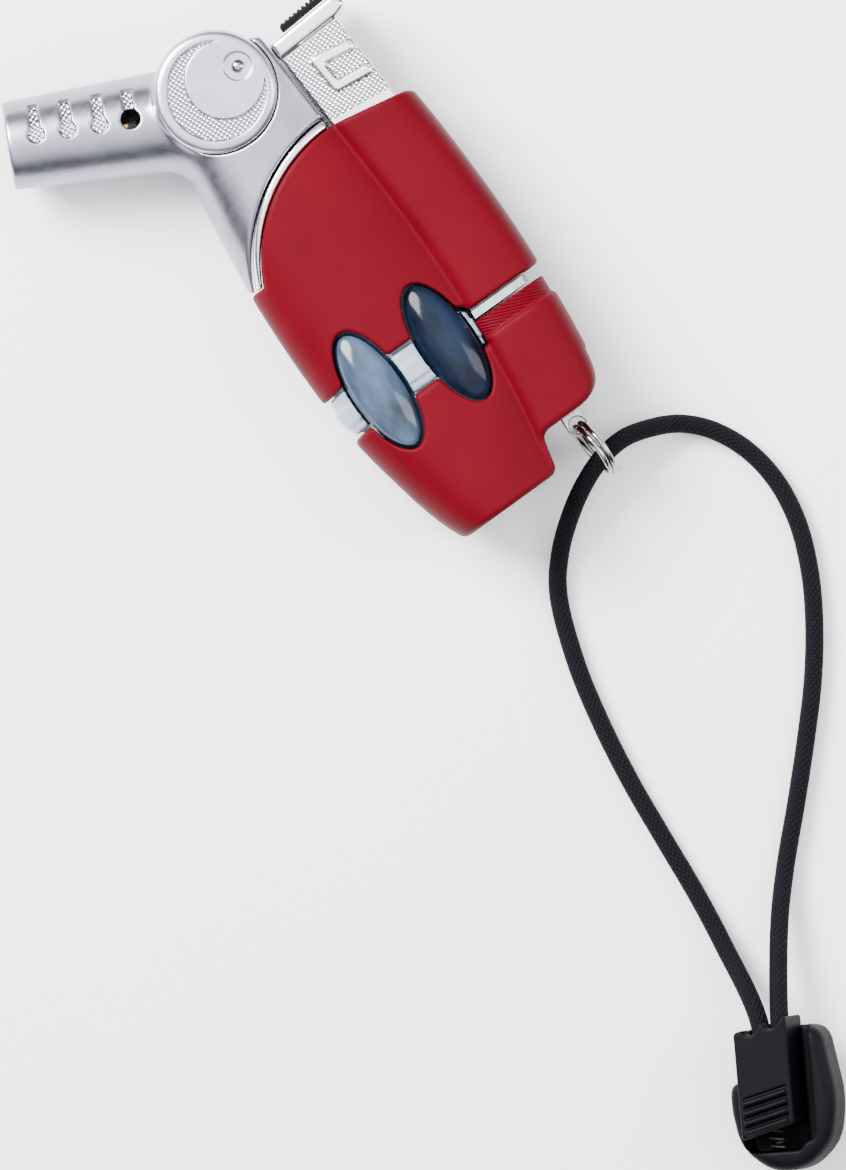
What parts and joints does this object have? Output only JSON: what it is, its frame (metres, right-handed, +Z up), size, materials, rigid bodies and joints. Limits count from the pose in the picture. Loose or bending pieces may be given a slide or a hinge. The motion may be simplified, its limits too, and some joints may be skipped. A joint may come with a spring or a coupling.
{
  "type": "butane torch",
  "caption": "Pocket butane torch with an angled burner, push-button igniter, windowed fuel tank and a braided wrist cord with a cord lock.",
  "frame": {"origin": "bottom centre of the torch's bounding box without the wrist cord and its lock, on the surface that it lies on", "axes": "+Y along the body towards the igniter button, +Z up through the broad side that faces up, burner towards -X"},
  "size_m": [0.0743, 0.2009, 0.02],
  "materials": {
    "satin_silver": "satin cast metal, lightly blasted",
    "bright_silver": "bright plated metal",
    "nickel": "polished nickel",
    "steel": "plain steel",
    "brass": "turned brass",
    "ceramic": "matte ceramic",
    "red_shell": "soft-touch matte red",
    "tank_plastic": "translucent pale blue plastic",
    "window_plastic": "translucent smoky blue plastic",
    "black_plastic": "matte black plastic",
    "rubber": "rubber",
    "hose_black": "flexible hose",
    "wire_red": "insulated wire",
    "cord_black": "braided elastic cord",
    "lock_black": "matte black plastic"
  },
  "bodies": {
    "torch": {"head_casting": "satin_silver", "disc_cap_front": "satin_silver", "disc_cap_back": "satin_silver", "cap_pin_front": "nickel", "cap_pin_back": "nickel", "flame_guard": "steel", "burner_mesh": "ceramic", "mixing_tube": "brass", "jet_nozzle": "brass", "electrode_insulator": "ceramic", "electrode": "steel", "neck_collar": "bright_silver", "upper_shell": "red_shell", "lower_shell": "red_shell", "fuel_tank": "tank_plastic", "window_front_left": "window_plastic", "window_front_right": "window_plastic", "window_back_left": "window_plastic", "window_back_right": "window_plastic", "piezo_body": "black_plastic", "button_spring": "steel", "chassis": "steel", "valve_body": "brass", "valve_o_ring": "rubber", "valve_spring": "steel", "lever_pin": "steel", "gas_hose": "hose_black", "ignition_wire": "wire_red", "refill_valve_body": "brass", "refill_o_ring": "rubber", "refill_spring": "steel", "eyelet_lug": "nickel"},
    "button": {"igniter_button": "bright_silver", "thumb_pad": "black_plastic", "piezo_plunger": "black_plastic"},
    "lever": {"gas_lever": "steel"},
    "valve": {"valve_stem": "brass"},
    "refill": {"refill_stem": "brass"},
    "adjuster": {"flame_adjuster": "brass"},
    "lanyard": {"split_ring": "nickel", "wrist_cord": "cord_black", "cord_lock_housing": "lock_black", "cord_lock_spring": "steel"},
    "lock_slider": {"cord_lock_slider": "lock_black"}
  },
  "joints": [
    {"name": "button_press", "type": "slide", "parent": "torch", "child": "button", "axis": [0.0993, -0.9951, 0], "range_m": [0, 0.0035], "stiffness_N_per_m": 1500, "springref_m": -0.003, "deforming": ["button_spring"]},
    {"name": "gas_lever_tilt", "type": "hinge", "parent": "torch", "child": "lever", "pos_m": [0.00761, 0.00832, 0.01], "axis": [0, 0, 1], "range_deg": [-16.5, 0]},
    {"name": "valve_lift", "type": "slide", "parent": "torch", "child": "valve", "axis": [0, 1, 0], "range_m": [0, 0.0013], "deforming": ["valve_spring", "gas_hose"]},
    {"name": "refill_press", "type": "slide", "parent": "torch", "child": "refill", "axis": [0, 1, 0], "range_m": [0, 0.0012], "stiffness_N_per_m": 300, "springref_m": -0.001, "deforming": ["refill_spring"]},
    {"name": "flame_adjust", "type": "hinge", "parent": "torch", "child": "adjuster", "pos_m": [0.01131, -0.04342, 0.01], "axis": [0, 1, 0], "range_deg": [-90, 90]},
    {"name": "lanyard_swing", "type": "hinge", "parent": "torch", "child": "lanyard", "pos_m": [0.02191, -0.03903, 0.01], "axis": [0, 0, 1], "range_deg": [-20, 45]},
    {"name": "lock_press", "type": "slide", "parent": "lanyard", "child": "lock_slider", "axis": [-0.4617, -0.887, 0], "range_m": [0, 0.0018], "stiffness_N_per_m": 500, "springref_m": -0.002, "deforming": ["cord_lock_spring"]}
  ],
  "couplings": [
    {"joint": "gas_lever_tilt", "follows": "button_press", "rad_per_m": -81.1},
    {"joint": "valve_lift", "follows": "button_press", "ratio": 0.36}
  ]
}
